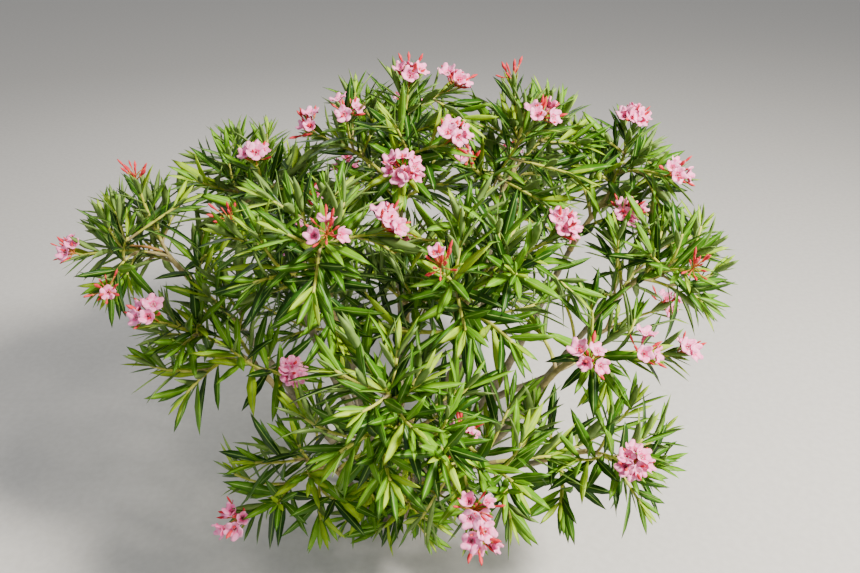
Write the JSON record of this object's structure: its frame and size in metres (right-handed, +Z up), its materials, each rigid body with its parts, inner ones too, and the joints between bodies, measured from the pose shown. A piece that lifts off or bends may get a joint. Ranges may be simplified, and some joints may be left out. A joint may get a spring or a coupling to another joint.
{
  "type": "oleander shrub",
  "caption": "Flowering evergreen shrub rooted in open ground: splayed woody stems carry masses of long narrow leaves, with heads of pink blossom at the shoot tips.",
  "frame": {"origin": "middle of the flat cut under the foot, at ground level", "axes": "+Z straight up out of the ground, -Y to the front, the side that the picture shows, and +X to the right as seen from the front"},
  "size_m": [1.2527, 1.1322, 0.9727],
  "materials": {
    "wood": "rough bark",
    "stem": "smooth bark",
    "foliage": "waxy leaf"
  },
  "bodies": {
    "root": {"foot": "wood", "stem_top_left": "stem", "stem_top_right": "stem", "stem_right_upper": "stem", "stem_right_mid": "stem", "stem_left_upper": "stem", "stem_left_far": "stem", "stem_front_left": "stem", "stem_front_low_right": "stem", "stem_front_low_left": "stem", "stem_back_left": "stem", "stem_back_right": "stem", "stem_right_tip": "stem", "stem_left_low": "stem", "stem_front_right": "stem", "stem_right_low": "stem", "stem_front_middle": "stem", "stem_front_low": "stem", "stem_middle": "stem", "stem_back_middle": "stem", "stem_back_low_left": "stem", "stem_back_low_right": "stem", "stem_side_low_right": "stem", "foliage_top_left": "foliage", "foliage_top_right": "foliage", "foliage_right_upper": "foliage", "foliage_right_mid": "foliage", "foliage_left_upper": "foliage", "foliage_left_far": "foliage", "foliage_front_left": "foliage", "foliage_front_low_right": "foliage", "foliage_front_low_left": "foliage", "foliage_back_left": "foliage", "foliage_back_right": "foliage", "foliage_right_tip": "foliage", "foliage_left_low": "foliage", "foliage_front_right": "foliage", "foliage_right_low": "foliage", "foliage_front_middle": "foliage", "foliage_front_low": "foliage", "foliage_middle": "foliage", "foliage_back_middle": "foliage", "foliage_back_low_left": "foliage", "foliage_back_low_right": "foliage", "foliage_side_low_right": "foliage"}
  },
  "joints": []
}
